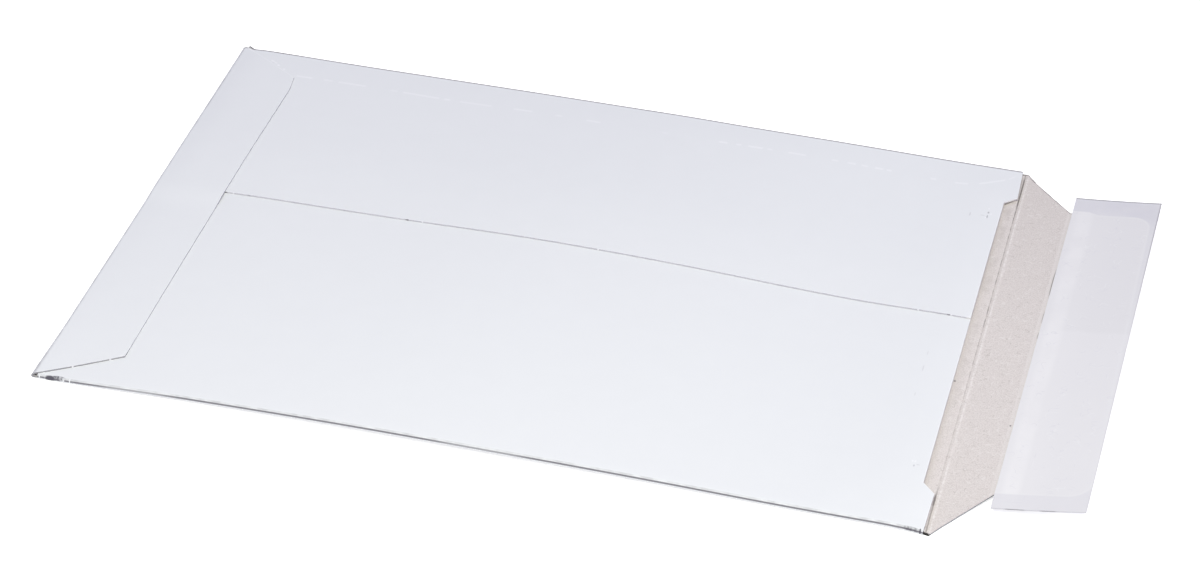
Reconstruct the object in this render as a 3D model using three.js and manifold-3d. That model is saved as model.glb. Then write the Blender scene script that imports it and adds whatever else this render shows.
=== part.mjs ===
// Cardboard mailing envelope: one die-cut board blank folded into a flat pocket.
// It lies on its front with the glued back seam up and the closing flap sprung open,
// so the flap's adhesive strip and the release liner over it show.
//
// Millimetres. +X runs from the bottom fold to the closing flap, +Y across the pocket
// and +Z up. The origin is the middle of the footprint, on the resting surface.

import * as THREE from 'three';
import Module from 'manifold-3d';

// Board and pocket
const BOARD = 0.6; // thickness of the solid board
const BODY_LENGTH = 340; // bottom fold to closing crease
const BODY_WIDTH = 240; // over the two long folds
const FOLD_GAP = 0.8; // space left inside a pressed long fold
const POCKET_RISE = 3.5; // how far the empty pocket stands open at mid-length

// Back seam: the far panel's edge lies over the near panel
const SEAM_EDGE = 11; // centre line to the far panel's cut edge
const SEAM_OVERLAP = 20; // how far the near panel runs on under it
const STEP_RUN = 14; // length over which board climbs on to another layer
const GLUE = 0.1; // thickness of a glue line
const GLUE_INSET = 2; // margin left dry round a glue line

// Mouth: the side panels stop short of the crease and step back between two shoulders
const SHOULDER_GAP = 1.7; // shoulder to crease
const SHOULDER_WIDTH = 22.3; // long fold to the start of the notch
const NOTCH_RUN = 4.6; // width of the notch's slanted side
const MOUTH_RECESS = 6.3; // mouth edge to crease

// Bottom flap, folded over the side panels and glued down
const BOTTOM_FLAP_DEPTH = 29.5; // bottom fold to free edge
const BOTTOM_FLAP_INSET = 18.4; // how far each slanted end comes in

// Closing flap
const CLOSING_FLAP_DEPTH = 52.6; // crease to free edge
const CLOSING_FLAP_NECK = 20; // depth of the slanted ends
const CLOSING_FLAP_INSET = 26.5; // how far each slanted end comes in
const CLOSING_FLAP_CORNER = 8; // radius of the free corners
const CLOSING_FLAP_LIFT = 6.7; // degrees that the flap springs up from flat

// Adhesive strip and its release liner, on the inside of the closing flap
const ADHESIVE_START = 22.5; // crease to the strip
const ADHESIVE_WIDTH = 28;
const ADHESIVE_LENGTH = 182;
const ADHESIVE_THICKNESS = 0.15;
const LINER_START = 21; // crease to the liner
const LINER_WIDTH = 34;
const LINER_LENGTH = 206.7;
const LINER_THICKNESS = 0.12;
const BOND_GAP = 0.1; // room between layers that only touch

// How finely curved board is drawn
const LENGTH_STEPS = 20; // stations along the pocket
const LANE_STEP = 18; // widest lane across a panel
const STEP_LANES = 6; // lanes in a climb on to another layer
const ARC_STEPS = 6; // facets in a half-turn fold or a round corner
const FLAP_STEPS = 3; // stations along the bottom flap

// Places that follow from the sizes
const foldRadius = BOARD + FOLD_GAP / 2; // outer radius of a long fold
const pocketHalf = BODY_WIDTH / 2 - foldRadius; // half-width between the long folds
const bottomX = -BODY_LENGTH / 2;
const creaseX = BODY_LENGTH / 2;
const bottomReach = BOARD + FOLD_GAP; // how far the bottom fold stands out past the panels
const panelStart = bottomX + bottomReach;
const cornerRelief = SHOULDER_GAP / 2; // small bevel where a long fold meets the crease
const hiddenEdge = SEAM_EDGE + SEAM_OVERLAP; // the near panel's free edge
const stepStart = hiddenEdge + BOARD;
const shoulderEdge = BODY_WIDTH / 2 - SHOULDER_WIDTH;
const notchEdge = shoulderEdge - NOTCH_RUN;
const glueBite = BOARD / 4; // how far a glue line soaks into the board
const closingLift = THREE.MathUtils.degToRad(CLOSING_FLAP_LIFT);

const wasm = await Module();
wasm.setup();

/** Evenly spaced values from start to end, both included. */
function spread(start, end, steps) {
  return Array.from({ length: steps + 1 }, (_, i) => THREE.MathUtils.lerp(start, end, i / steps));
}

/** Values through every break point in rising order, none further apart than step. */
function lanes(breaks, step) {
  const sorted = [...new Set(breaks)].sort((a, b) => a - b);
  const values = [sorted[0]];
  for (let i = 1; i < sorted.length; i += 1) {
    const count = Math.max(1, Math.ceil((sorted[i] - sorted[i - 1]) / step));
    values.push(...spread(sorted[i - 1], sorted[i], count).slice(1));
  }
  return values;
}

/** How far the back panels stand above their flat-folded height: a low pillow. */
function pocketRise(x, y) {
  const along = Math.sin((Math.PI * (x - bottomX)) / BODY_LENGTH);
  const across = 1 - (y / pocketHalf) ** 2;
  return POCKET_RISE * along * across;
}

/** Extra height where board lies over the near panel's hidden margin, with a climb each side. */
function overlapStep(y) {
  const nearClimb = THREE.MathUtils.smoothstep(y, SEAM_EDGE - STEP_RUN, SEAM_EDGE);
  const farClimb = 1 - THREE.MathUtils.smoothstep(y, stepStart, stepStart + STEP_RUN);
  return (BOARD + GLUE) * nearClimb * farClimb;
}

/** Underside heights of the three layers of the back. */
const nearUnder = (x, y) => BOARD + FOLD_GAP + pocketRise(x, y);
const farUnder = (x, y) => nearUnder(x, y) + overlapStep(y);
const bottomFlapUnder = (x, y) => farUnder(x, y) + BOARD + GLUE;

/** Where a side panel ends at the mouth: shoulder, slanted notch side, then recessed edge. */
function mouthX(y) {
  const fromShoulder = THREE.MathUtils.clamp((shoulderEdge - Math.abs(y)) / NOTCH_RUN, 0, 1);
  return creaseX - THREE.MathUtils.lerp(SHOULDER_GAP, MOUTH_RECESS, fromShoulder);
}

/** Closed geometry through a row of sections, each one face of a sheet and then the other face back. */
function ribbonLoft(sections) {
  const ring = sections[0].length;
  const last = sections.length - 1;
  const at = (station, i) => station * ring + (i % ring);
  const index = [];
  const quad = (a, b, c, d) => index.push(a, b, c, a, c, d);
  for (let s = 0; s < last; s += 1) {
    for (let i = 0; i < ring; i += 1) {
      quad(at(s, i), at(s + 1, i), at(s + 1, i + 1), at(s, i + 1));
    }
  }
  for (let i = 0; i + 1 < ring / 2; i += 1) {
    const across = ring - 1 - i;
    quad(at(0, i), at(0, i + 1), at(0, across - 1), at(0, across));
    quad(at(last, i), at(last, across), at(last, across - 1), at(last, i + 1));
  }
  const geometry = new THREE.BufferGeometry();
  geometry.setAttribute('position', new THREE.Float32BufferAttribute(sections.flat(2), 3));
  geometry.setIndex(index);
  return geometry;
}

/** The closed geometry as a solid that can be joined. */
function toSolid(geometry) {
  const vertProperties = Float32Array.from(geometry.getAttribute('position').array);
  const triVerts = Uint32Array.from(geometry.getIndex().array);
  return new wasm.Manifold(new wasm.Mesh({ numProp: 3, vertProperties, triVerts }));
}

/** The joined solid back as geometry. */
function toGeometry(solid) {
  const mesh = solid.getMesh();
  const geometry = new THREE.BufferGeometry();
  geometry.setAttribute('position', new THREE.Float32BufferAttribute(mesh.vertProperties, 3));
  geometry.setIndex(new THREE.Uint32BufferAttribute(mesh.triVerts, 1));
  geometry.computeVertexNormals();
  return geometry;
}

/** A lane of a side panel: its two faces as points on the section at the given share of the length. */
function panelLane(y, under) {
  const place = (share, lift) => {
    const x = THREE.MathUtils.lerp(panelStart, mouthX(y), share);
    return [x, y, under(x, y) + lift];
  };
  return { outer: (share) => place(share, BOARD), inner: (share) => place(share, 0) };
}

/** A lane of a long fold: the half-turn about the fold's own centre, on the side given by its sign. */
function foldLane(angle, side) {
  const place = (share, radius) => {
    const x = THREE.MathUtils.lerp(panelStart, creaseX - SHOULDER_GAP, share);
    const y = side * (pocketHalf + radius * Math.cos(angle));
    return [x, y, foldRadius + radius * Math.sin(angle)];
  };
  return { outer: (share) => place(share, foldRadius), inner: (share) => place(share, FOLD_GAP / 2) };
}

/** A lane of the front panel, which lies on the table and runs on to the crease. */
function frontLane(y) {
  const place = (share, z) => [THREE.MathUtils.lerp(panelStart, creaseX, share), y, z];
  return { outer: (share) => place(share, 0), inner: (share) => place(share, BOARD) };
}

/** Front, two long folds and two side panels: one wrapped section carried along the length. */
function wrappedBody() {
  const farBreaks = [SEAM_EDGE, stepStart, ...spread(stepStart, stepStart + STEP_RUN, STEP_LANES)];
  const farYs = lanes([...farBreaks, notchEdge, shoulderEdge, pocketHalf], LANE_STEP);
  const nearYs = lanes([-pocketHalf, -shoulderEdge, -notchEdge, hiddenEdge], LANE_STEP);
  const frontYs = lanes([cornerRelief - pocketHalf, pocketHalf - cornerRelief], LANE_STEP);
  const turn = spread(Math.PI / 2, -Math.PI / 2, ARC_STEPS);
  const path = [
    ...farYs.slice(0, -1).map((y) => panelLane(y, farUnder)),
    ...turn.map((angle) => foldLane(angle, 1)),
    ...frontYs.reverse().map(frontLane),
    ...turn.reverse().map((angle) => foldLane(angle, -1)),
    ...nearYs.slice(1).map((y) => panelLane(y, nearUnder)),
  ];
  const section = (share) => [
    ...path.map((lane) => lane.outer(share)),
    ...path.map((lane) => lane.inner(share)).reverse(),
  ];
  return ribbonLoft(spread(0, 1, LENGTH_STEPS).map(section));
}

/** Half-width of the bottom flap at a distance from the bottom fold. */
function bottomFlapHalf(distance) {
  const share = (distance - bottomReach) / (BOTTOM_FLAP_DEPTH - bottomReach);
  return THREE.MathUtils.lerp(pocketHalf, BODY_WIDTH / 2 - BOTTOM_FLAP_INSET, share);
}

/** Bottom flap: from its free edge over the side panels, round the bottom fold to the front panel. */
function bottomFlap() {
  const flapDistances = spread(BOTTOM_FLAP_DEPTH, bottomReach, FLAP_STEPS);
  const turn = spread(Math.PI / 2, -Math.PI / 2, ARC_STEPS).slice(1);
  const section = (side) => {
    const onFlap = (distance, lift) => {
      const x = bottomX + distance;
      const y = side * bottomFlapHalf(distance);
      return [x, y, bottomFlapUnder(x, y) + lift];
    };
    const rootY = side * pocketHalf;
    const rootUnder = bottomFlapUnder(panelStart, rootY);
    const middle = (rootUnder + BOARD) / 2;
    const onTurn = (angle, reach, height) => [
      panelStart - reach * Math.cos(angle),
      rootY,
      middle + (height / 2) * Math.sin(angle),
    ];
    const outerTurn = turn.map((angle) => onTurn(angle, bottomReach, rootUnder + BOARD));
    const innerTurn = turn.map((angle) => onTurn(angle, bottomReach - BOARD, rootUnder - BOARD));
    const outer = [...flapDistances.map((distance) => onFlap(distance, BOARD)), ...outerTurn];
    const inner = [...flapDistances.map((distance) => onFlap(distance, 0)), ...innerTurn];
    return [...outer, ...inner.reverse()];
  };
  const nearStep = spread(SEAM_EDGE - STEP_RUN, SEAM_EDGE, STEP_LANES);
  const farStep = spread(stepStart, stepStart + STEP_RUN, STEP_LANES);
  const ys = lanes([-pocketHalf, ...nearStep, ...farStep, pocketHalf], LANE_STEP);
  return ribbonLoft(ys.map((y) => section(y / pocketHalf)));
}

/** Closing flap: slanted ends from the crease, then straight sides with round free corners. */
function closingFlap() {
  const rootHalf = pocketHalf - cornerRelief;
  const freeHalf = BODY_WIDTH / 2 - CLOSING_FLAP_INSET;
  const cornerStart = CLOSING_FLAP_DEPTH - CLOSING_FLAP_CORNER;
  const stations = [
    { depth: BOARD, half: rootHalf },
    { depth: CLOSING_FLAP_NECK, half: freeHalf },
    ...spread(0, Math.PI / 2, ARC_STEPS).map((angle) => ({
      depth: cornerStart + CLOSING_FLAP_CORNER * Math.sin(angle),
      half: freeHalf - CLOSING_FLAP_CORNER * (1 - Math.cos(angle)),
    })),
  ];
  const onFlap = (depth, y, lift) => [
    creaseX + depth * Math.cos(closingLift) - lift * Math.sin(closingLift),
    y,
    depth * Math.sin(closingLift) + lift * Math.cos(closingLift),
  ];
  const root = [
    [creaseX, rootHalf, 0],
    [creaseX, -rootHalf, 0],
    [creaseX, -rootHalf, BOARD],
    [creaseX, rootHalf, BOARD],
  ];
  const sections = stations.map(({ depth, half }) => [
    onFlap(depth, half, 0),
    onFlap(depth, -half, 0),
    onFlap(depth, -half, BOARD),
    onFlap(depth, half, BOARD),
  ]);
  return ribbonLoft([root, ...sections]);
}

/** A glue line between two layers: it fills the gap under a layer and soaks a little into both. */
function glueLine(xs, ys, layerUnder) {
  const section = (x) => [
    ...ys.map((y) => [x, y, layerUnder(x, y) - GLUE - glueBite]).reverse(),
    ...ys.map((y) => [x, y, layerUnder(x, y) + glueBite]),
  ];
  return ribbonLoft(xs.map(section));
}

/** The glue lines of the back seam and of the bottom flap's two halves. */
function glueLines() {
  const seamXs = spread(panelStart + GLUE_INSET, creaseX - MOUTH_RECESS - GLUE_INSET, LENGTH_STEPS);
  const seamYs = spread(SEAM_EDGE + GLUE_INSET, hiddenEdge - GLUE_INSET, 1);
  const flapXs = spread(panelStart + GLUE_INSET, bottomX + BOTTOM_FLAP_DEPTH - GLUE_INSET, FLAP_STEPS);
  const flapEnd = BODY_WIDTH / 2 - BOTTOM_FLAP_INSET - GLUE_INSET;
  const climb = spread(stepStart, stepStart + STEP_RUN, STEP_LANES);
  const farYs = lanes([SEAM_EDGE + GLUE_INSET, ...climb, flapEnd], LANE_STEP);
  const nearYs = lanes([-flapEnd, SEAM_EDGE - STEP_RUN - GLUE_INSET], LANE_STEP);
  return [
    glueLine(seamXs, seamYs, farUnder),
    glueLine(flapXs, farYs, bottomFlapUnder),
    glueLine(flapXs, nearYs, bottomFlapUnder),
  ];
}

/** The whole folded blank with its glue lines, as one solid. */
function envelopeBoard() {
  const pieces = [wrappedBody(), bottomFlap(), closingFlap(), ...glueLines()].map(toSolid);
  return toGeometry(pieces.reduce((joined, piece) => joined.add(piece)));
}

/** A thin strip lying on the closing flap, its long side across the pocket. */
function flapStrip(start, width, length, thickness) {
  const outline = new THREE.Shape();
  outline.moveTo(start, -length / 2);
  outline.lineTo(start + width, -length / 2);
  outline.lineTo(start + width, length / 2);
  outline.lineTo(start, length / 2);
  outline.closePath();
  return new THREE.ExtrudeGeometry(outline, { depth: thickness, bevelEnabled: false });
}

/** A named mesh with its own finish. */
function piece(name, geometry, color, roughness) {
  const material = new THREE.MeshStandardMaterial({ color, roughness, metalness: 0 });
  const mesh = new THREE.Mesh(geometry, material);
  mesh.name = name;
  return mesh;
}

const board = piece('envelope_board', envelopeBoard(), '#e8e9ed', 0.5);

const adhesive = piece(
  'adhesive_strip',
  flapStrip(ADHESIVE_START, ADHESIVE_WIDTH, ADHESIVE_LENGTH, ADHESIVE_THICKNESS),
  '#dcd8cc',
  0.35,
);
adhesive.position.z = BOARD + BOND_GAP;

const liner = piece(
  'release_liner',
  flapStrip(LINER_START, LINER_WIDTH, LINER_LENGTH, LINER_THICKNESS),
  '#e9ebef',
  0.3,
);
liner.position.z = adhesive.position.z + ADHESIVE_THICKNESS + BOND_GAP;

const flapDressing = new THREE.Group();
flapDressing.position.x = creaseX;
flapDressing.rotation.y = -closingLift;
flapDressing.add(adhesive, liner);

const envelope = new THREE.Group();
envelope.add(board, flapDressing);
envelope.updateMatrixWorld(true);
const footprint = new THREE.Box3().setFromObject(envelope);
envelope.position.x = -(footprint.min.x + footprint.max.x) / 2;

export default envelope;
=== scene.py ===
"""Looks for a flat cardboard mailing envelope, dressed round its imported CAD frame.

The envelope is one die-cut sheet of board, white-coated outside and grey inside, folded into a
pocket that lies on its front. Its closing flap is sprung open and carries an adhesive band under
a strip of release paper. Shapes are worked out in millimetres in the body frame, whose x runs
from the bottom fold at -170 to the closing crease at +170, y across the pocket and z up. A mesh
is written in metres in the row frame. Marks and patterns lie on the flat blank, in millimetres:
along it as x runs, and across it from the middle of the front panel.
"""

import logging
import math
from abc import ABC, abstractmethod
from collections.abc import Callable, Iterable
from dataclasses import dataclass
from enum import Enum, IntEnum
from functools import reduce
from typing import ClassVar

import bpy
import numpy as np
from mathutils import Matrix, Vector

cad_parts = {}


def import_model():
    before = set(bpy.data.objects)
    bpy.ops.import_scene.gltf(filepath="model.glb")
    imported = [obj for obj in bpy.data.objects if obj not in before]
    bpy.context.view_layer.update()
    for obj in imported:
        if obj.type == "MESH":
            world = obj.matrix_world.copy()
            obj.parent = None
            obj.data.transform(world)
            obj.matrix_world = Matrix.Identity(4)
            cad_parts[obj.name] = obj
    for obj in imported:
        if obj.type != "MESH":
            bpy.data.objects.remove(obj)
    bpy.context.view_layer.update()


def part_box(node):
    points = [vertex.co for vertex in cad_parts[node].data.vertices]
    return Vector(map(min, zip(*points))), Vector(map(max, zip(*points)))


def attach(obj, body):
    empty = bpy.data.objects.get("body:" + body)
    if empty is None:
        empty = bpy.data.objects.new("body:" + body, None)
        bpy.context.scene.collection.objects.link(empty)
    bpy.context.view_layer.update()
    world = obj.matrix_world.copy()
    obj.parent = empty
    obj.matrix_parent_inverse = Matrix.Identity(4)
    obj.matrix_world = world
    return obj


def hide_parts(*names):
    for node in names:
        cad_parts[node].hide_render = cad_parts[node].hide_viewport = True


Array = np.ndarray
Knots = tuple[tuple[float, float], ...]
Colour = tuple[float, float, float, float]
Heights = Callable[[Array, Array], Array]

LOG = logging.getLogger("envelope")
MM = 0.001
UNMARKED_MM = 1000.0  # distance to a marked line that a patch of sheet doesn't have
WELD_PER_MM = 1e4  # points that round to the same ten-thousandth are one
WELD_SHIFT = 0.37  # keeps round coordinates off the edge between two roundings
ROUNDING = 1e-9  # slack that keeps a whole number of steps from being rounded up
FACTOR, UNDER, OVER = 0, 6, 7  # inputs of a node that mixes colours
MIXED = 2  # and its output


def linear(code: str) -> Colour:
    """Turns an sRGB hex colour to linear light.

    Args:
        code: Colour such as "#E9EAEE".

    Returns:
        Red, green, blue and a full alpha, linear.
    """
    parts = [int(code[i : i + 2], 16) / 255 for i in (1, 3, 5)]
    red, green, blue = (p / 12.92 if p <= 0.04045 else ((p + 0.055) / 1.055) ** 2.4 for p in parts)
    return red, green, blue, 1.0


def add_node(
    tree: bpy.types.NodeTree, kind: str, inputs: dict | None = None, **settings: object
) -> bpy.types.Node:
    """Adds a node with its settings, values and links.

    Args:
        tree: Node tree to add to.
        kind: Blender's name of the node type.
        inputs: Values, or masks and sockets to link, by input name or number.
        **settings: Properties of the node itself.

    Returns:
        The new node.
    """
    node = tree.nodes.new(kind)
    for name, value in settings.items():
        setattr(node, name, value)
    for key, value in (inputs or {}).items():
        source = value.socket if isinstance(value, Mask) else value
        if isinstance(source, bpy.types.NodeSocket):
            tree.links.new(source, node.inputs[key])
        else:
            node.inputs[key].default_value = source
    return node


def ease(share: Array) -> Array:
    """Smooth climb from 0 to 1 as the share goes from 0 to 1: three squares less two cubes."""
    t = np.clip(share, 0.0, 1.0)
    return t * t * (3.0 - 2.0 * t)


def through(knots: Knots, at: Array) -> Array:
    """Smooth curve through knots.

    Between two knots it is the cubic that meets both and takes, at each, the mean slope of the
    stretches beside it. Outside the knots it keeps the end value.

    Args:
        knots: Place and value pairs in rising order of place.
        at: Places to work the curve out at.

    Returns:
        The curve's values.
    """
    place, value = np.array(knots, float).T
    slope = np.gradient(value, place)
    i = np.clip(np.searchsorted(place, at) - 1, 0, len(place) - 2)
    run = place[i + 1] - place[i]
    t = np.clip((at - place[i]) / run, 0.0, 1.0)
    left = value[i] * (1 + 2 * t) + run * slope[i] * t
    right = value[i + 1] * (3 - 2 * t) + run * slope[i + 1] * (t - 1)
    return left * (1 - t) ** 2 + right * t**2


def lanes(breaks: tuple[float, ...], step: float) -> Array:
    """Spreads places evenly between break points.

    Args:
        breaks: Places that have to be met.
        step: The furthest that two places may lie apart.

    Returns:
        Rising places through every break point.
    """
    edges = np.unique(np.array(breaks, float))
    counts = np.maximum(1, np.ceil(np.diff(edges) / step - ROUNDING)).astype(int)
    runs = [np.linspace(a, b, n, endpoint=False) for a, b, n in zip(edges, edges[1:], counts)]
    return np.concatenate([*runs, edges[-1:]])


def grid(*parts: Array) -> Array:
    """Points or places of a grid, from one grid, row or column of values for each coordinate."""
    return np.stack(np.broadcast_arrays(*parts), -1)


def put_in_scene(name: str, data: bpy.types.ID) -> bpy.types.Object:
    """Puts a mesh, a lamp or a camera into the scene.

    Args:
        name: The object's name.
        data: What the object shows.

    Returns:
        The object, at the origin.
    """
    made = bpy.data.objects.new(name, data)
    bpy.context.scene.collection.objects.link(made)
    return made


class Face(IntEnum):
    """Material slots of a sheet: its two faces and its cut edge."""

    OUTSIDE = 0
    INSIDE = 1
    CUT_EDGE = 2


class Side(Enum):
    """The four borders of a patch of sheet."""

    FIRST_ROW = "first row"
    LAST_ROW = "last row"
    FIRST_COLUMN = "first column"
    LAST_COLUMN = "last column"


WHOLE = (slice(None),)


@dataclass
class SheetPatch:
    """A four-sided part of a sheet: matching grids of points on its two faces.

    Rows step along the blank's length and columns across it, so that row step times column step,
    as a cross product, points out of the outside face. A border that ends in air is cut, over
    the spans given, and the others are shared with a neighbour. Marks are grids of distances in
    millimetres to lines that show on the sheet, such as "rim", its nearest cut border.
    """

    outside: Array
    inside: Array
    blank: Array
    cut: dict[Side, tuple[slice, ...]]
    marks: dict[str, Array]

    def points(self) -> Array:
        """Points of the outside face, then of the inside face."""
        return np.concatenate([self.outside.reshape(-1, 3), self.inside.reshape(-1, 3)])

    def blank_places(self, board: float) -> Array:
        """Place of every point on the flat blank, with its depth in the board as third value.

        Args:
            board: Thickness of the sheet.

        Returns:
            Places in the order of the points.
        """
        flat = self.blank.reshape(-1, 2)
        depths = (np.zeros(len(flat)), np.full(len(flat), board))
        return np.concatenate([np.column_stack([flat, depth]) for depth in depths])

    def mark_values(self, mark: str) -> Array:
        """Distances to a marked line for every point, a metre where the patch has no such line."""
        away = self.marks.get(mark, np.full(self.blank.shape[:2], UNMARKED_MM))
        return np.tile(away.ravel(), 2)

    def faces(self, first: int) -> tuple[Array, Array]:
        """Quads of both faces and of the cut borders.

        Args:
            first: Number of the patch's first point in the whole mesh.

        Returns:
            Corner numbers of every quad, and its material slot.
        """
        rows, columns = self.outside.shape[:2]
        o = np.arange(rows * columns).reshape(rows, columns) + first
        i = o + rows * columns
        quads = [
            np.stack([o[:-1, :-1], o[1:, :-1], o[1:, 1:], o[:-1, 1:]], -1).reshape(-1, 4),
            np.stack([i[:-1, 1:], i[1:, 1:], i[1:, :-1], i[:-1, :-1]], -1).reshape(-1, 4),
        ]
        walls = {
            Side.FIRST_ROW: (o[0, :-1], o[0, 1:], i[0, 1:], i[0, :-1]),
            Side.LAST_ROW: (o[-1, 1:], o[-1, :-1], i[-1, :-1], i[-1, 1:]),
            Side.FIRST_COLUMN: (o[1:, 0], o[:-1, 0], i[:-1, 0], i[1:, 0]),
            Side.LAST_COLUMN: (o[:-1, -1], o[1:, -1], i[1:, -1], i[:-1, -1]),
        }
        for side, spans in self.cut.items():
            quads += [np.stack(walls[side], -1)[span] for span in spans]
        slots = [Face.OUTSIDE, Face.INSIDE] + [Face.CUT_EDGE] * (len(quads) - 2)
        return np.concatenate(quads), np.repeat(slots, [len(q) for q in quads])


@dataclass
class Sheet:
    """A whole sheet of patches that share their borders, ready to be put into one mesh."""

    name: str
    patches: list[SheetPatch]
    board: float
    shift: float
    sharp_deg: float = 50.0

    def mesh_object(self, materials: list[bpy.types.Material]) -> bpy.types.Object:
        """Welds the patches into one closed mesh, with the attributes "blank", "rim" and "trace".

        Args:
            materials: Finish of the outside, the inside and the cut edge.

        Returns:
            The object, at the origin in the row frame.
        """
        points = np.concatenate([p.points() for p in self.patches])
        places = np.concatenate([p.blank_places(self.board) for p in self.patches])
        starts = np.cumsum([0] + [len(p.points()) for p in self.patches[:-1]])
        made = [p.faces(int(start)) for p, start in zip(self.patches, starts)]
        quads = np.concatenate([quad for quad, _ in made])
        slots = np.concatenate([slot for _, slot in made])
        keys = np.round(points * WELD_PER_MM + WELD_SHIFT).astype(np.int64)
        _, kept, number = np.unique(keys, axis=0, return_index=True, return_inverse=True)
        row = (points[kept] + [self.shift, 0.0, 0.0]) * MM
        mesh = bpy.data.meshes.new(self.name)
        mesh.from_pydata(row, [], number.reshape(-1)[quads].tolist())
        mesh.polygons.foreach_set("material_index", slots.astype(np.int32))
        mesh.polygons.foreach_set("use_smooth", np.ones(len(slots), bool))
        mesh.attributes.new("blank", "FLOAT_VECTOR", "POINT")
        flat = places[kept].astype(np.float32).ravel()
        mesh.attributes["blank"].data.foreach_set("vector", flat)
        for mark in ("rim", "trace"):
            mesh.attributes.new(mark, "FLOAT", "POINT")
            away = np.concatenate([p.mark_values(mark) for p in self.patches])[kept]
            mesh.attributes[mark].data.foreach_set("value", away.astype(np.float32))
        for material in materials:
            mesh.materials.append(material)
        mesh.update()
        mesh.set_sharp_from_angle(angle=math.radians(self.sharp_deg))
        return put_in_scene(self.name, mesh)


@dataclass(frozen=True)
class Mask:
    """A value that varies over a surface: one output of a node, with the tree that holds it.

    Masks are worked out like numbers. A product is one mask held back by the other, "a | b" is
    the stronger of the two, and "~a" is what a mask leaves of one.
    """

    tree: bpy.types.NodeTree
    socket: bpy.types.NodeSocket

    def step(self, kind: str, inputs: dict, **settings: object) -> "Mask":
        """First output of a new node in the mask's own tree."""
        return Mask(self.tree, add_node(self.tree, kind, inputs, **settings).outputs[0])

    def __mul__(self, other: "Mask | float") -> "Mask":
        """This mask held back by another, or times a number."""
        return self.step("ShaderNodeMath", {0: self, 1: other}, operation="MULTIPLY")

    def __add__(self, other: "Mask") -> "Mask":
        """This mask and another added up."""
        return self.step("ShaderNodeMath", {0: self, 1: other}, operation="ADD")

    def __or__(self, other: "Mask") -> "Mask":
        """The stronger of this mask and another."""
        return self.step("ShaderNodeMath", {0: self, 1: other}, operation="MAXIMUM")

    def __invert__(self) -> "Mask":
        """What this mask leaves of one."""
        return self.step("ShaderNodeMath", {0: 1.0, 1: self}, operation="SUBTRACT")


class Easing(Enum):
    """How a change of strength runs from its start to its end."""

    STRAIGHT = "LINEAR"
    SMOOTH = "SMOOTHSTEP"


class Step(ABC):
    """What one node makes of a value. A subclass only lists the node's kind and settings."""

    kind: ClassVar[str]
    takes: ClassVar[str]

    @abstractmethod
    def inputs(self) -> dict[str, float]:
        """Inputs of the node besides the value."""

    def settings(self) -> dict[str, str]:
        """Properties of the node itself."""
        return {}

    def over(self, value: Mask) -> Mask:
        """What the node makes of a value at each place."""
        return value.step(self.kind, {self.takes: value} | self.inputs(), **self.settings())


@dataclass(frozen=True)
class Slope(Step):
    """A change from low at a start to high at an end of a value, level before and after."""

    kind: ClassVar[str] = "ShaderNodeMapRange"
    takes: ClassVar[str] = "Value"
    start: float
    end: float
    low: float = 0.0
    high: float = 1.0
    easing: Easing = Easing.STRAIGHT

    def inputs(self) -> dict[str, float]:
        """Where the change starts and ends, and the strength at both."""
        ends = {"From Min": self.start, "From Max": self.end}
        return ends | {"To Min": self.low, "To Max": self.high}

    def settings(self) -> dict[str, str]:
        """How the change runs."""
        return {"interpolation_type": self.easing.value}


@dataclass(frozen=True)
class Band:
    """A mark along a line of the blank, wherever a value is close to the line's own."""

    place: float
    half: float
    soft: float
    peak: float = 1.0

    def over(self, value: Mask) -> Mask:
        """Gives the peak within half of the line, eased to none over the soft margin.

        Args:
            value: What the line's place is measured in.

        Returns:
            The mark's strength at each place.
        """
        off = value.step("ShaderNodeMath", {0: value, 1: self.place}, operation="SUBTRACT")
        away = off.step("ShaderNodeMath", {0: off}, operation="ABSOLUTE")
        return Slope(self.half, self.half + self.soft, self.peak, 0.0, Easing.SMOOTH).over(away)


@dataclass(frozen=True)
class Blot:
    """An oval mark on the blank, with its middle, its two half-sizes and its turn."""

    middle: tuple[float, float]
    halves: tuple[float, float]
    peak: float = 1.0
    turn_deg: float = 0.0
    inner: float = 0.5
    through_board: float = 1e6  # half-size in depth, so that the mark goes through the board

    def over(self, blank: Mask) -> Mask:
        """Gives the peak in the oval's inner half, eased to none at its outline.

        Args:
            blank: Places on the flat blank.

        Returns:
            The mark's strength at each place.
        """
        frame = {"Vector": blank, "Location": (*self.middle, 0.0)}
        frame["Rotation"] = (0.0, 0.0, math.radians(self.turn_deg))
        frame["Scale"] = (*self.halves, self.through_board)
        local = blank.step("ShaderNodeMapping", frame, vector_type="TEXTURE")
        away = add_node(blank.tree, "ShaderNodeVectorMath", {0: local}, operation="LENGTH")
        share = Mask(blank.tree, away.outputs["Value"])
        return Slope(self.inner, 1.0, self.peak, 0.0, Easing.SMOOTH).over(share)


@dataclass(frozen=True)
class Mottle(Step):
    """Cloudy noise of a real size, from 0 to 1, with a number of finer layers worked into it."""

    kind: ClassVar[str] = "ShaderNodeTexNoise"
    takes: ClassVar[str] = "Vector"
    size_mm: float
    detail: float = 2.0

    def inputs(self) -> dict[str, float]:
        """The noise's scale, from its real size, and its finer layers."""
        return {"Scale": 1 / self.size_mm, "Detail": self.detail}


@dataclass(frozen=True)
class Threads:
    """Short crooked threads: level lines of one noise, kept where a coarser one is high."""

    size_mm: float
    level: float
    half: float
    kept: float
    peak: float
    coarse: float = 0.62
    fade: float = 0.06

    def over(self, blank: Mask) -> Mask:
        """Gives the peak on the threads that are kept, eased to none at their sides and ends.

        Args:
            blank: Places on the flat blank.

        Returns:
            The threads' strength at each place.
        """
        lines = Mottle(self.size_mm, 0.0).over(blank)
        spread = Mottle(self.size_mm / self.coarse, 0.0).over(blank)
        here = Slope(self.kept, self.kept + self.fade).over(spread)
        return Band(self.level, self.half, self.half, self.peak).over(lines) * here


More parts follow.
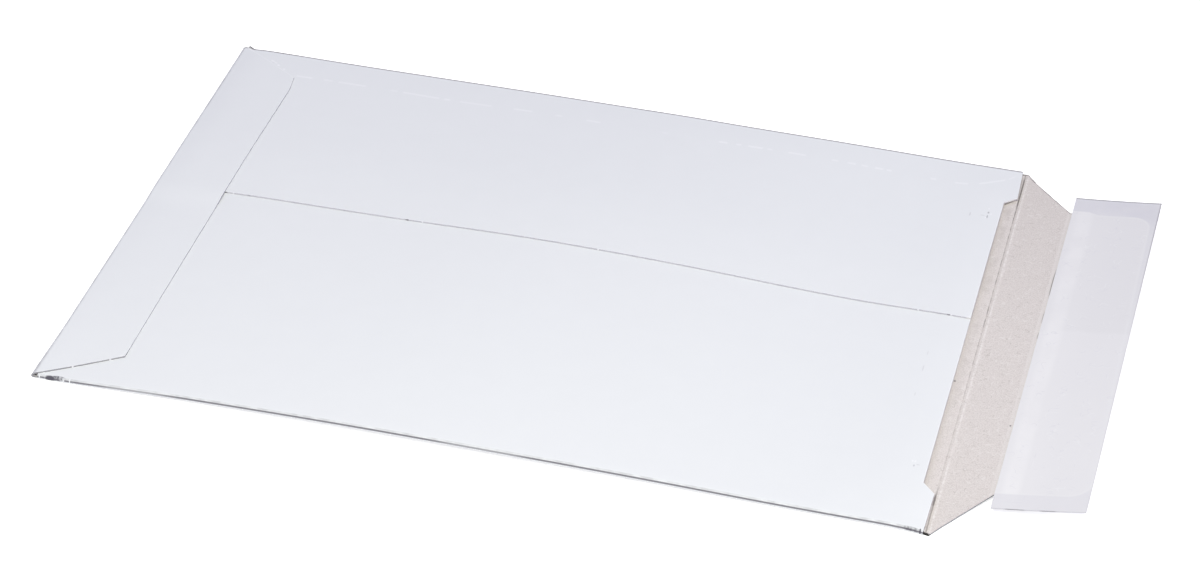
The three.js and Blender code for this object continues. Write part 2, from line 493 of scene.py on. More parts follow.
@dataclass(frozen=True)
class Relief(Step):
    """Fine roughness that only tilts the light: a surface direction from a height of 0 to 1."""

    kind: ClassVar[str] = "ShaderNodeBump"
    takes: ClassVar[str] = "Height"
    strength: float
    depth_mm: float

    def inputs(self) -> dict[str, float]:
        """The roughness's strength, and its depth in metres."""
        return {"Strength": self.strength, "Distance": self.depth_mm * MM}


@dataclass(frozen=True)
class Gloss:
    """How a surface shines: how rough it is and how much it mirrors."""

    roughness: float
    specular: float = 0.25


def joined(marks: Iterable[Band | Blot | Slope], value: Mask) -> Mask:
    """The strongest of several marks at each place."""
    return reduce(Mask.__or__, (mark.over(value) for mark in marks))


class Coat:
    """A material under way, with the sheet's own attributes that its masks read."""

    def __init__(self, name: str) -> None:
        """Starts a material that reads the sheet's attributes.

        Args:
            name: The real material's name.
        """
        self.material = bpy.data.materials.new(name)
        self.material.use_nodes = True
        self.tree = self.material.node_tree
        self.blank, self.rim, self.trace = (
            Mask(self.tree, add_node(self.tree, "ShaderNodeAttribute", attribute_name=mark).outputs[kind])
            for mark, kind in (("blank", "Vector"), ("rim", "Fac"), ("trace", "Fac"))
        )
        places = add_node(self.tree, "ShaderNodeSeparateXYZ", {0: self.blank}).outputs
        self.along, self.across = (Mask(self.tree, place) for place in places[:2])

    def finished(
        self,
        under: Colour | bpy.types.NodeSocket,
        layers: list[tuple[Mask, str]],
        gloss: Gloss,
        relief: Mask | None = None,
    ) -> bpy.types.Material:
        """Lays colours over a tone one after another, and sets the gloss and the relief.

        Args:
            under: Colour to start from.
            layers: Each layer's mask and sRGB hex colour, the lowest first.
            gloss: How the surface shines.
            relief: Surface direction, where the surface isn't smooth.

        Returns:
            The finished material.
        """
        for mask, colour in layers:
            mix = {FACTOR: mask, UNDER: under, OVER: linear(colour)}
            under = add_node(self.tree, "ShaderNodeMix", mix, data_type="RGBA").outputs[MIXED]
        shader = self.tree.nodes["Principled BSDF"]
        self.tree.links.new(under, shader.inputs["Base Color"])
        shader.inputs["Roughness"].default_value = gloss.roughness
        shader.inputs["Specular IOR Level"].default_value = gloss.specular
        if relief is not None:
            self.tree.links.new(relief.socket, shader.inputs["Normal"])
        return self.material


class Finish(ABC):
    """A surface of the envelope, which makes its own material."""

    @abstractmethod
    def material(self) -> bpy.types.Material:
        """Makes the material."""


@dataclass(frozen=True)
class CoatedFace(Finish):
    """Clay-coated white face of solid board, blade-coated and calendered.

    The eye gets an even, slightly cool white with a faint cloudiness from the sheet's formation
    and a fine grain of fibres under the coating, silky rather than glossy. Painted shade greys the
    far and bottom folds where they turn from the light, lies as a dark broken line under the near
    fold, and darkens the far fold's crushed end. Smudges lie near the near fold's ends, and painted
    shade fills a slit at its right end. A few short ticks pressed by the folding machine are drawn
    as painted shade. Painted highlights run along the die-cut lips, beside some ticks, and broken
    along a faint ridge of the far panel, with painted glints in line with it beside the bottom
    flap's far slant.
    """

    white: str = "#F0F2F6"
    haze: str = "#EEF0F4"
    fold_edge_shade: str = "#B4B2B7"
    far_corner_shade: str = "#6E6B70"
    fold_shade: str = "#7A7880"
    smudge_and_slit_grey: str = "#575560"
    lip: str = "#FAFBFF"
    tick_shade: str = "#C2C2C9"
    gloss: Gloss = Gloss(0.48)
    relief: Relief = Relief(0.08, 0.02)
    clouds: Mottle = Mottle(11.0, 3.0)
    grain: Mottle = Mottle(0.9)  # fibres, drawn coarser than they are, so that they show
    patches: Mottle = Mottle(5.0)
    broken: Slope = Slope(0.35, 0.6, 0.25)
    streaky: Slope = Slope(0.4, 0.6, 0.35)
    # painted highlight along the die-cut lips, broken by patches
    lip_highlights: Band = Band(0.0, 0.25, 0.4, 0.7)
    # far_fold and bottom_fold: painted shade along the folds' outward curves, where they turn from the
    # light, broken by patches
    far_fold: Band = Band(120.8, 0.72, 0.4)
    bottom_fold: Band = Band(-170.45, 0.45, 0.35, 0.6)
    # near_fold and near_underside_shade: painted shade under the near fold, a dark line with a softer
    # spread below it
    near_fold: Band = Band(-120.32, 0.1, 0.3)
    near_underside_shade: Band = Band(-120.65, 0.2, 0.45, 0.38)
    # gaps and weaker stretches in the near fold's painted shade
    shade_gaps: tuple[Band, ...] = (
        Band(-167.75, 0.15, 0.2),
        Band(-165.5, 0.1, 0.15),
        Band(-158.7, 0.75, 0.3),
        Band(-155.7, 0.12, 0.2),
        Band(-130.0, 6.0, 12.0, 0.28),
        Band(4.0, 10.0, 10.0, 0.22),
    )
    # a smudge near the near fold's left end, and painted shade in the slit at its right end
    smudge_and_slit_shade: tuple[Blot, ...] = (
        Blot((-163.5, -120.35), (2.7, 1.15)),
        Blot((166.9, -120.4), (0.45, 1.3)),
    )
    smears: tuple[Blot, ...] = (
        Blot((-160.7, -120.75), (3.5, 1.2), 0.9, -4.0),
        Blot((163.6, -120.5), (4.2, 0.9), 0.7),
    )
    # painted shade along the far fold's crushed end, by the far-left corner
    far_corner_shades: tuple[Blot, ...] = (
        Blot((-166.3, 121.0), (1.9, 0.9), 0.75),
        Blot((-168.3, 121.0), (0.8, 0.9), 0.5),
        Blot((-171.2, 118.7), (1.1, 0.5), 0.6),
        Blot((-153.5, 121.0), (13.0, 0.7), 0.65),
    )
    # painted shade of the ticks pressed by the folding machine, and small dark spots beside the pale
    # glints
    tick_shades: tuple[Blot, ...] = (
        Blot((158.55, 155.4), (0.5, 0.9), 0.9), Blot((158.5, 158.4), (0.4, 1.5), 0.9),
        Blot((156.5, 157.9), (1.2, 0.5), 0.25), Blot((151.5, 158.3), (0.4, 1.7), 0.35),
        Blot((151.3, -214.7), (0.35, 2.6), 0.3), Blot((151.3, -224.7), (0.35, 1.8), 0.2),
        Blot((151.2, -197.8), (0.35, 1.5), 0.2), Blot((158.4, -154.9), (0.45, 0.8), 0.6),
        Blot((159.8, -155.8), (0.9, 0.35), 0.35), Blot((-151.5, 132.3), (0.8, 0.8), 0.3),
        Blot((-148.7, 134.2), (0.8, 0.8), 0.3), Blot((-154.2, 130.0), (0.5, 0.5), 0.3),
    )  # fmt: skip
    # painted highlights beside the ticks, and glints in line with the far panel's ridge
    glints: tuple[Blot, ...] = (
        Blot((158.35, 152.6), (0.45, 0.8), 0.8), Blot((159.65, 156.2), (0.45, 0.8), 0.8),
        Blot((157.95, 159.25), (0.45, 0.8), 0.8), Blot((157.5, -157.5), (0.45, 0.8), 0.8),
        Blot((158.5, -157.5), (0.45, 0.8), 0.8), Blot((-154.6, 128.3), (1.4, 0.6), 0.8, 30.0),
        Blot((-152.9, 129.4), (1.0, 0.6), 0.7, 35.0), Blot((-151.2, 131.0), (1.2, 0.7), 1.0, 55.0),
        Blot((-148.0, 133.4), (0.8, 0.8), 0.9),
    )  # fmt: skip
    # painted highlight along a faint ridge of the far panel, in broken runs
    ridge_highlight_band: Band = Band(0.0, 0.35, 0.6)
    ridge_highlight_runs: tuple[Band, ...] = tuple(
        Band(middle, half, 1.0, peak)
        for middle, half, peak in (
            (-137.5, 3.0, 0.55), (-127.0, 1.5, 0.4), (-116.5, 5.5, 0.5), (-98.0, 1.0, 0.35),
            (-86.0, 7.5, 0.5), (-74.5, 0.8, 0.6), (-62.0, 6.5, 0.4), (-41.5, 3.5, 0.5),
            (-26.0, 1.0, 0.4), (-11.0, 2.5, 0.45), (20.0, 1.0, 0.25), (44.5, 1.3, 0.6),
            (51.0, 0.5, 0.6), (58.0, 2.6, 0.6), (64.0, 0.6, 0.5), (75.5, 3.2, 0.5),
            (91.5, 0.8, 0.45), (98.5, 1.2, 0.5), (104.0, 0.8, 0.45), (110.0, 1.2, 0.6),
            (114.3, 0.5, 0.6), (132.8, 0.6, 0.5), (144.5, 2.2, 0.5), (156.5, 4.5, 0.55),
            (163.8, 0.6, 0.4),
        )
    )  # fmt: skip

    def material(self) -> bpy.types.Material:
        """Makes the coated face's material.

        Returns:
            The material of the sheet's outside.
        """
        coat = Coat("clay_coated_board")
        blank, along, across = coat.blank, coat.along, coat.across
        grain = self.grain.over(blank)
        broken = self.broken.over(self.patches.over(blank))
        lip_highlights = self.lip_highlights.over(coat.rim) * broken
        ridge_highlight = self.ridge_highlight_band.over(coat.trace) * joined(self.ridge_highlight_runs, along)
        # painted shade under the near fold
        near_fold_shade = self.near_fold.over(across) | self.near_underside_shade.over(across) * broken
        smears = joined(self.smears, blank) * self.streaky.over(grain)
        layers = [
            (self.clouds.over(blank), self.white),
            # painted highlights on lips, ridge and glints
            (lip_highlights | ridge_highlight | joined(self.glints, blank), self.lip),
            # painted shade on the far and bottom folds
            (self.far_fold.over(across) | self.bottom_fold.over(along) * broken, self.fold_edge_shade),
            (joined(self.tick_shades, blank), self.tick_shade),
            (near_fold_shade * ~joined(self.shade_gaps, along), self.fold_shade),
            (joined(self.far_corner_shades, blank), self.far_corner_shade),
            (joined(self.smudge_and_slit_shade, blank) | smears, self.smudge_and_slit_grey),
        ]
        return coat.finished(linear(self.haze), layers, self.gloss, self.relief.over(grain))


@dataclass(frozen=True)
class GreyFace(Finish):
    """Uncoated grey-beige inside of board made from recycled fibre.

    The eye gets a dull warm grey, finely flecked, with stray paler and darker fibres and no gloss.
    The closing crease is a pressed line with painted shade, deepest under the panels' shoulders,
    with a pale bead beside it in painted highlight and a painted black shadow at its near end. The
    strip inside the mouth has painted shade in patches, strongest by the mouth's edge, and so has
    the flap's far border. A speck or two stand alone, painted shadow lies along part of the liner's
    inner edge, and the liner throws a little painted light on the board beside it.
    """

    flecks: tuple[tuple[float, str], ...] = ((0.32, "#D7D0CE"), (0.5, "#E2DBD9"), (0.68, "#EAE4E2"))
    # groove: painted shade in the closing crease
    groove: str = "#4E4A49"
    shadow_black: str = "#262423"
    tip_grey: str = "#B9B8BC"
    bead: str = "#F0EBEA"
    fresh: str = "#FAF6F4"
    # painted shade and shadow, and the specks
    shade_and_speck_grey: str = "#8D8887"
    # painted shade in the mouth, a darker far side and dark fibres
    darker_grey: str = "#B5ADA8"
    gloss: Gloss = Gloss(0.85)
    relief: Relief = Relief(0.15, 0.03)
    grain: Mottle = Mottle(0.55)  # flecks of fibre, drawn coarser than they are, so that they show
    patches: Mottle = Mottle(4.0)
    speckle: Mottle = Mottle(1.4, 1.0)
    uneven: Slope = Slope(0.38, 0.62, 0.25)
    flecked: Slope = Slope(0.42, 0.62, 0.15)
    # painted shade in the closing crease, strongest in its ends under the shoulders and in the far slot
    crease: Band = Band(168.75, 0.03, 0.28, 0.72)
    sharper: Slope = Slope(-40.0, 40.0, 0.36)
    crease_ends: Band = Band(168.75, 0.12, 0.32)
    end_depths: tuple[Slope, ...] = (
        Slope(86.0, 99.0, 0.0, 0.75, Easing.SMOOTH),
        Slope(-86.0, -99.0, 0.0, 0.5, Easing.SMOOTH),
    )
    far_slot: Band = Band(168.1, 0.5, 0.4)
    slot_depth: Slope = Slope(97.5, 105.0, 0.0, 0.2, Easing.SMOOTH)
    tip_off: Slope = Slope(114.0, 117.0, 1.0, 0.15)
    pinches: tuple[Blot, ...] = (
        Blot((168.9, 118.2), (2.0, 0.6), 0.75),
        Blot((168.7, -99.5), (0.5, 5.5), 0.7),
    )
    # painted highlight on the crease's bead
    bead_highlight: Band = Band(170.1, 0.12, 0.4, 0.9)
    # painted shade inside the mouth, in patches, strongest by the mouth's edge and at the far side
    mouth_strip_shade: Band = Band(164.6, 1.0, 3.6, 0.42)
    strip_shade_across: Slope = Slope(-100.0, 90.0, 0.4, 0.9)
    mouth_shade: Band = Band(163.3, 0.5, 2.8, 0.3)
    mouth_line: Band = Band(162.9, 0.5, 0.6, 0.5)
    far_tone: Slope = Slope(0.0, 110.0, 0.0, 0.14)
    # painted shade along the flap's far border
    border: Band = Band(0.0, 0.2, 0.35)
    far_half: Slope = Slope(-5.0, 5.0)
    # painted black shadow under the front's near corner at the crease
    near_corner_shadow: Blot = Blot((168.9, -119.0), (1.9, 1.5))
    tip: Blot = Blot((-169.3, -119.2), (1.8, 1.6), 0.9)
    # painted shadow under the liner's inner edge, then two specks
    edge_shadows_and_specks: tuple[Blot, ...] = (
        Blot((190.79, 43.0), (0.45, 12.0), 0.75, -0.55),
        Blot((190.57, 19.5), (0.45, 5.0), 0.4, -0.55),
        Blot((190.45, 7.0), (0.45, 3.0), 0.4, -0.55),
        Blot((188.9, -51.4), (0.45, 0.55)),
        Blot((164.0, -28.0), (0.6, 0.8), 0.8),
    )
    # painted light that the liner throws on the board
    glow: Blot = Blot((189.72, 1.24), (1.3, 300.0), 0.42, -0.55)
    pale_fibres: Threads = Threads(1.7, 0.5, 0.022, 0.53, 0.6)
    dark_fibres: Threads = Threads(1.4, 0.45, 0.02, 0.56, 0.4)

    def crease_shade(self, coat: Coat, uneven: Mask) -> Mask:
        """Strength of the painted shade in the closing crease, over its length, in its two deep ends, in
        the far slot and at two pinches.

        Args:
            coat: Material under way.
            uneven: Patches that the line comes and goes with.

        Returns:
            The line's strength at each place.
        """
        along, across = coat.along, coat.across
        line = self.crease.over(along) * uneven * self.sharper.over(across)
        deep = self.crease_ends.over(along) * joined(self.end_depths, across)
        slot = self.far_slot.over(along) * self.slot_depth.over(across)
        ends = (deep | slot) * self.tip_off.over(across)
        return line | ends | joined(self.pinches, coat.blank)

    def material(self) -> bpy.types.Material:
        """Makes the grey face's material.

        Returns:
            The material of the sheet's inside.
        """
        coat = Coat("recycled_grey_board")
        blank, along, across = coat.blank, coat.along, coat.across
        grain = self.grain.over(blank)
        ramp = add_node(coat.tree, "ShaderNodeValToRGB", {"Fac": grain})
        stops = ramp.color_ramp.elements
        stops.remove(stops[1])
        stops[0].position = self.flecks[0][0]
        stops[0].color = linear(self.flecks[0][1])
        for place, colour in self.flecks[1:]:
            stops.new(place).color = linear(colour)
        uneven = self.uneven.over(self.patches.over(blank))
        bead = self.bead_highlight.over(along) * self.flecked.over(self.speckle.over(blank))
        # painted shade in the mouth strip and by the mouth's edge; far_tone darkens towards the far side
        strip = self.mouth_strip_shade.over(along) * uneven * self.strip_shade_across.over(across)
        darker_grey = strip | self.mouth_shade.over(along) | self.far_tone.over(across)
        border = self.border.over(coat.rim) * self.far_half.over(across) * uneven
        layers = [
            (self.pale_fibres.over(blank), self.bead),
            (darker_grey | self.dark_fibres.over(blank), self.darker_grey),
            # painted highlight on the crease's bead, and painted light thrown by the liner
            (bead | self.glow.over(blank), self.bead),
            (self.mouth_line.over(along), self.fresh),
            (border | joined(self.edge_shadows_and_specks, blank), self.shade_and_speck_grey),
            (self.crease_shade(coat, uneven), self.groove),
            (self.tip.over(blank), self.tip_grey),
            (self.near_corner_shadow.over(blank), self.shadow_black),
        ]
        return coat.finished(ramp.outputs["Color"], layers, self.gloss, self.relief.over(grain))


@dataclass(frozen=True)
class CutEdge(Finish):
    """Die-cut edge of the board, where the grey core shows.

    The eye gets a thin matt grey line with fibres torn a little unevenly, cleaner at the back seam,
    paler at the mouth, white where the die's holding nicks were pulled apart and dark where the
    board is pinched near them, darker along both flaps' near slants where painted shade is added
    to the edge's grey, and painted black as shadow at the near end of the closing crease.
    """

    core: str = "#AFAEB7"
    fibre: str = "#C5C4CC"
    clean: str = "#D4D3DB"
    fresh: str = "#E2E0DF"
    dark_edge_and_shade: str = "#9A9A9F"
    torn: str = "#F6F6FA"
    pinched: str = "#85838C"
    shadow_black: str = "#262423"
    gloss: Gloss = Gloss(0.9)
    fibres: Mottle = Mottle(1.3)  # drawn coarser than they are, so that they show
    seam: Band = Band(229.4, 1.0, 0.5, 0.5)
    mouth: Band = Band(165.3, 3.2, 0.5, 0.8)
    # darker grey, with painted shade, along both flaps' near slants
    slants: tuple[Blot, ...] = (
        Blot((-185.2, -110.3), (36.0, 6.0), 0.85, -31.4),
        Blot((180.0, -106.2), (34.0, 6.0), 1.0, 51.3),
    )
    pinches: tuple[Band, ...] = tuple(
        Band(place, 0.4, 0.4, peak)
        for place, peak in ((-140.0, 0.8), (-130.3, 0.3), (-63.8, 1.0), (13.7, 0.15), (154.8, 0.8))
    )
    nicks: tuple[Band, ...] = tuple(
        Band(place, 0.22, 0.25, 0.75)
        for place in (-136.8, -57.4, 14.8, 142.9, 155.9, -182.7, -194.9)
    )
    # painted black shadow under the front's near corner at the crease
    corner: Blot = Blot((168.9, -119.1), (2.2, 2.0))

    def material(self) -> bpy.types.Material:
        """Makes the cut edge's material.

        Returns:
            The material of the sheet's edge.
        """
        coat = Coat("die_cut_board_edge")
        layers = [
            (self.fibres.over(coat.blank), self.fibre),
            (self.seam.over(coat.across), self.clean),
            (self.mouth.over(coat.along), self.fresh),
            (joined(self.slants, coat.blank), self.dark_edge_and_shade),
            (joined(self.pinches, coat.along), self.pinched),
            (joined(self.nicks, coat.along), self.torn),
            (self.corner.over(coat.blank), self.shadow_black),
        ]
        return coat.finished(linear(self.core), layers, self.gloss)


@dataclass(frozen=True)
class ReleasePaper(Finish):
    """Silicone-coated white release paper, thin and supercalendered.

    The eye gets a smooth, faintly see-through white with a soft sheen. A painted sheen brightens
    its inner side. Painted shade greys its far half past a soft fold, and it is greyer where it
    hangs past the flap's border, see-through and with painted shade. A painted highlight makes a
    pale line where that border presses through, thin wrinkles are painted as pale and dark lines,
    and painted shade makes a grey rim where its outer side and its two ends lift.
    """

    white: str = "#ECEBEF"
    shade: str = "#EAE9ED"
    sheen: str = "#F4F3F6"
    see_through_and_shade: str = "#DEDDE5"
    fold_shade: str = "#E6E5E9"
    paper_highlight: str = "#F2F2F5"
    rim_shade: str = "#9A999F"
    gloss: Gloss = Gloss(0.38)
    relief: Relief = Relief(0.15, 0.05)
    clouds: Mottle = Mottle(16.0, 3.0)
    wrinkles: Mottle = Mottle(2.2)
    ripple: Slope = Slope(0.35, 0.6, 0.55)
    fold_wander: float = 9.0
    # painted shade past a soft fold, across the far half
    past_fold: Slope = Slope(12.5, 15.5, 0.0, 0.55, Easing.SMOOTH)
    # painted sheen along the inner side, weaker towards the far end
    inner_side: Band = Band(-13.0, 2.0, 15.0, 0.25)
    streak: Band = Band(-11.8, 1.5, 4.2, 0.85)
    nearness: Slope = Slope(-95.0, 95.0, 1.0, 0.7)
    on_board: Slope = Slope(0.0, 1.0, 0.4)
    border_shift: Slope = Slope(-11.5, -6.0, 1.3, -0.6, Easing.SMOOTH)
    far_half: Slope = Slope(-50.0, 50.0)
    past_border: Slope = Slope(-0.6, 0.4, 1.0, 0.0, Easing.SMOOTH)
    # greyer where the paper hangs past the flap's border: see-through, with painted shade where it tilts
    farness: Slope = Slope(10.0, 92.0, 0.12)
    hanging: Slope = Slope(84.0, 94.0, 0.45)
    near_hanging: Slope = Slope(-88.0, -92.0, 0.0, 0.34)
    # painted highlight where the flap's border presses through
    border: Band = Band(0.3, 0.2, 0.6, 0.22)
    # painted shade along the lifted outer side and ends
    outer_edge: Band = Band(17.25, 0.35, 0.3, 0.6)
    far_end: Band = Band(103.75, 0.5, 0.5, 0.75)
    near_end: Band = Band(-103.75, 0.3, 0.35, 0.9)
    near_lifts: tuple[Band, ...] = (Band(-8.5, 2.4, 2.0), Band(3.4, 1.8, 2.0))
    near_rim_shade: Slope = Slope(0.0, 1.0, 0.35)
    # thin wrinkles painted as pale highlights and dark shade
    pale_wrinkles: Threads = Threads(3.2, 0.5, 0.016, 0.6, 0.45)
    dark_wrinkles: Threads = Threads(3.0, 0.46, 0.014, 0.6, 0.4)

    def material(self) -> bpy.types.Material:
        """Makes the release paper's material.

        Returns:
            The material of all the liner's faces.
        """
        coat = Coat("silicone_release_paper")
        blank, along, across = coat.blank, coat.along, coat.across
        clouds = self.clouds.over(blank)
        uneven = self.ripple.over(clouds)
        farness = self.farness.over(across)
        past_fold = self.past_fold.over(clouds * self.fold_wander + across)
        shift = self.border_shift.over(along) * self.far_half.over(across)
        from_border = shift + coat.trace
        outside = self.past_border.over(from_border)
        stuck = ~outside
        sheen = self.streak.over(along) * uneven | self.inner_side.over(along)
        sheen = sheen * self.nearness.over(across) * self.on_board.over(stuck)
        see_through_and_shade = outside * uneven * farness * self.hanging.over(across)
        far_rim_shade = (self.outer_edge.over(along) | self.far_end.over(across)) * farness
        near_rim_shade = self.near_end.over(across) * self.near_rim_shade.over(joined(self.near_lifts, along))
        layers = [
            (clouds, self.white),
            (past_fold, self.fold_shade),
            (sheen, self.sheen),
            (see_through_and_shade | outside * self.near_hanging.over(across), self.see_through_and_shade),
            (self.border.over(from_border) * uneven, self.paper_highlight),
            (self.pale_wrinkles.over(blank) * stuck, self.paper_highlight),
            (self.dark_wrinkles.over(blank), self.see_through_and_shade),
            (far_rim_shade | near_rim_shade, self.rim_shade),
        ]
        relief = self.relief.over(self.wrinkles.over(blank))
        return coat.finished(linear(self.shade), layers, self.gloss, relief)


@dataclass(frozen=True)
class TackyFilm(Finish):
    """Clear pressure-sensitive adhesive, laid down as a thin film.

    The eye gets a pale, slightly yellow band with a wet shine. The release paper hides it.
    """

    tint: str = "#DCD8CB"
    streak: str = "#D2CDBD"
    gloss: Gloss = Gloss(0.25, 0.5)
    streaks: Mottle = Mottle(3.0, 1.0)

    def material(self) -> bpy.types.Material:
        """Makes the adhesive's material.

        Returns:
            The material of all the band's faces.
        """
        coat = Coat("pressure_sensitive_adhesive")
        layers = [(self.streaks.over(coat.blank), self.tint)]
        return coat.finished(linear(self.streak), layers, self.gloss)


@dataclass(frozen=True)
class Climb:
    """A smooth climb from 0 to 1 over a run that begins at a start."""

    start: float
    run: float

    def at(self, place: Array) -> Array:
        """The climb's share at each place."""
        return ease((place - self.start) / self.run)


@dataclass
class PocketForm:
    """How the folded pocket lies: heights of its folds and of the panels between them.

    Knots give a height by the place along the length.
    """

    board: float = 0.6
    glue: float = 0.1
    half_length: float = 170.0
    half_width: float = 120.0
    fold_reach: float = 1.0
    seam_edge: float = 10.8
    seam_overlap: float = 20.0
    step_run: float = 14.0
    step_fall: float = 60.0
    near_lift: Knots = (
        (-170, 0), (-158, 0.15), (-134, 1.08), (-118, 1.65), (-100, 2.08), (-34, 2.9), (-10, 2.86),
        (62, 2.34), (122, 1.4), (140, 1.32), (156, 1.27), (164, 0.85), (170, 0),
    )  # fmt: skip
    far_lift: Knots = (
        (-170, 0), (-150, 0.52), (-110, 1.14), (-85, 1.22), (-40, 1.28), (0, 1.16), (28, 1.1),
        (45, 0.85), (90, 0.42), (130, 0.06), (170, 0),
    )  # fmt: skip
    near_gap: float = 0.8
    far_gap: Knots = (
        (-170, 1.3), (-163, 1.78), (-150, 1.56), (-130, 1.04), (-110, 0.74), (-85, 0.74), (28, 0.86),
        (45, 0.82), (112, 0.72), (145, 0.45), (170, 0.4),
    )  # fmt: skip
    seam_rise: Knots = (
        (-168.6, 0), (-156, 0.6), (-124, 1.26), (-110, 1.2), (-54, 1.48), (-40, 1.83), (2, 2.33),
        (14, 2.17), (56, 1.43), (84, 0.42), (124, -0.31), (136, -0.11), (158, 0.16), (170, 0.12),
    )  # fmt: skip
    mouth_spring: float = 0.5
    spring_along: Climb = Climb(124.0, 40.0)
    spring_across: Climb = Climb(20.0, 75.0)
    spring_fade: float = 22.0
    corner_bulge: float = 1.5
    corner_place: float = -167.55
    corner_before: float = 0.75
    corner_after: float = 1.4
    corner_across: float = 0.6

    @property
    def pocket_half(self) -> float:
        """Half-width between the centres of the two long folds."""
        return self.half_width - self.fold_reach

    @property
    def hidden_edge(self) -> float:
        """Where the near panel ends under the far one."""
        return self.seam_edge + self.seam_overlap

    def across(self, y: Array) -> Array:
        """Share of the way from the near fold to the far fold."""
        return (y + self.pocket_half) / (2 * self.pocket_half)

    def lift(self, x: Array, y: Array) -> Array:
        """Height of the front panel's outside: the two folds' lifts, mixed straight across."""
        v = self.across(y)
        return through(self.near_lift, x) * (1 - v) + through(self.far_lift, x) * v

    def gap(self, x: Array, y: Array) -> Array:
        """Room inside the pocket at the folds, mixed straight across."""
        v = self.across(y)
        return self.near_gap * (1 - v) + through(self.far_gap, x) * v

    def rise(self, x: Array, y: Array) -> Array:
        """Pillow of the back panels, a parabola across, and their spring beside the mouth's notches.

        The spring climbs towards the mouth and away from the middle, and fades at the long folds.

        Args:
            x: Places along the length.
            y: Places across.

        Returns:
            Heights above the panels' flat-folded place.
        """
        off = np.abs(y)
        pillow = through(self.seam_rise, x) * (1 - (y / self.pocket_half) ** 2)
        beside = self.spring_across.at(off) * ease((self.pocket_half - off) / self.spring_fade)
        return pillow + self.mouth_spring * self.spring_along.at(x) * beside

    def bulge(self, x: Array, y: Array) -> Array:
        """Small hump in the far fold's crushed end, a bell across it and a lopsided one along it.

        Args:
            x: Places along the length.
            y: Places across.

        Returns:
            Extra heights.
        """
        past = x - self.corner_place
        along = (past / np.where(past < 0, self.corner_before, self.corner_after)) ** 2
        across = ((y - self.pocket_half) / self.corner_across) ** 2
        return self.corner_bulge * np.exp(-along - across)

    def overlap_step(self, y: Array) -> Array:
        """Extra height of board that lies over the near panel's hidden margin, eased at each side.

        Args:
            y: Places across.

        Returns:
            Extra heights.
        """
        start = self.hidden_edge + self.board
        near = Climb(self.seam_edge - self.step_run, self.step_run).at(y)
        far = 1 - Climb(start, self.step_fall).at(y)
        return (self.board + self.glue) * near * far

    def near_under(self, x: Array, y: Array) -> Array:
        """Height of the near panel's inside."""
        return self.lift(x, y) + self.board + self.gap(x, y) + self.rise(x, y)

    def far_under(self, x: Array, y: Array) -> Array:
        """Height of the far panel's inside, which steps over the near panel's margin."""
        return self.near_under(x, y) + self.overlap_step(y) + self.bulge(x, y)

    def flap_under(self, x: Array, y: Array) -> Array:
        """Height of the bottom flap's inside, which lies on both panels."""
        return self.far_under(x, y) + self.board + self.glue


@dataclass
class ClosingFlapForm:
    """How the open closing flap stands on its crease."""

    crease: float = 170.0
    half_width: float = 120.0
    depth: float = 53.9
    neck_far: float = 20.7
    neck_near: float = 19.5
    root_far: float = 118.15
    root_near: float = 118.75
    near_out: float = 0.5
    far_out: float = 0.9
    out_starts: Climb = Climb(-2.0, 0.6)
    out_ends: Climb = Climb(0.0, 8.0)
    out_width: float = 7.0
    free_far: float = 93.95
    free_near: float = 93.05
    corner: float = 8.0
    lean_deg: float = 6.66
    lean_change_deg: float = -1.905
    crease_round: float = 0.6
    tilt: Climb = Climb(0.0, 1.5)
    bend: float = 0.293
    bend_half: float = 20.0
    board: float = 0.6

    def half_at(self, s: Array, side: Array) -> Array:
        """Width from the middle to the far or near side: slanted neck, straight, round corners.

        Args:
            s: Distances from the crease.
            side: Above nought for the far side, below it for the near side.

        Returns:
            Half-widths.
        """
        root = np.where(side > 0, self.root_far, self.root_near)
        free = np.where(side > 0, self.free_far, self.free_near)
        run = np.where(side > 0, self.neck_far, self.neck_near)
        neck = root + (free - root) * np.clip(s / run, 0, 1)
        into = np.clip((s - self.depth + self.corner) / self.corner, 0, 1)
        return neck - self.corner * (1 - np.sqrt(np.maximum(0.0, 1 - into**2)))

    def aside(self, past: Array, y: Array) -> Array:
        """Place across, moved out at the crease's two ends.

        The move is eased in where the near fold stops, short of the crease, eased out past it,
        and eased off away from the sides.

        Args:
            past: Distances past the crease, below nought on the front panel.
            y: Places across.

        Returns:
            Moved places across.
        """
        here = self.out_starts.at(past) * (1 - self.out_ends.at(past))
        near = self.near_out * Climb(self.root_near - self.out_width, self.out_width).at(-y)
        far = self.far_out * Climb(self.root_far - self.out_width, self.out_width).at(y)
        return y + (far - near) * here

    def inside_by(self, s: Array, y: Array) -> Array:
        """How far a place lies inside the free end's outline, a rectangle with two round corners.

        Args:
            s: Distances from the crease.
            y: Places across.

        Returns:
            Distances to the outline, below nought outside it.
        """
        over_end = s - self.depth + self.corner
        over_side = np.abs(y) - np.where(y > 0, self.free_far, self.free_near) + self.corner
        past = np.hypot(np.maximum(over_end, 0), np.maximum(over_side, 0))
        return self.corner - past - np.minimum(np.maximum(over_end, over_side), 0)

    def point(self, s: Array, y: Array, above: Array) -> Array:
        """Point at a distance from the crease, a place across and a height above the flap's outside.

        The flap leans by an angle that changes evenly across it, starts level at the crease over
        about a millimetre, and bows by a parabola that is zero at the crease and 40 mm from it.

        Args:
            s: Distance from the crease along the flap.
            y: Place across the envelope.
            above: Height above the outside face, square to it.

        Returns:
            Points in the body frame.
        """
        lean = np.radians(self.lean_deg + self.lean_change_deg * y / self.half_width)
        run = np.sqrt(s**2 + self.crease_round**2) - self.crease_round
        bow = self.bend * s * (s - 2 * self.bend_half) / self.bend_half**2
        x = self.crease + s * np.cos(lean) - above * np.sin(lean) * self.tilt.at(s)
        z = run * np.sin(lean) + bow + above * np.cos(lean * self.tilt.at(s))
        return grid(x, y, z)


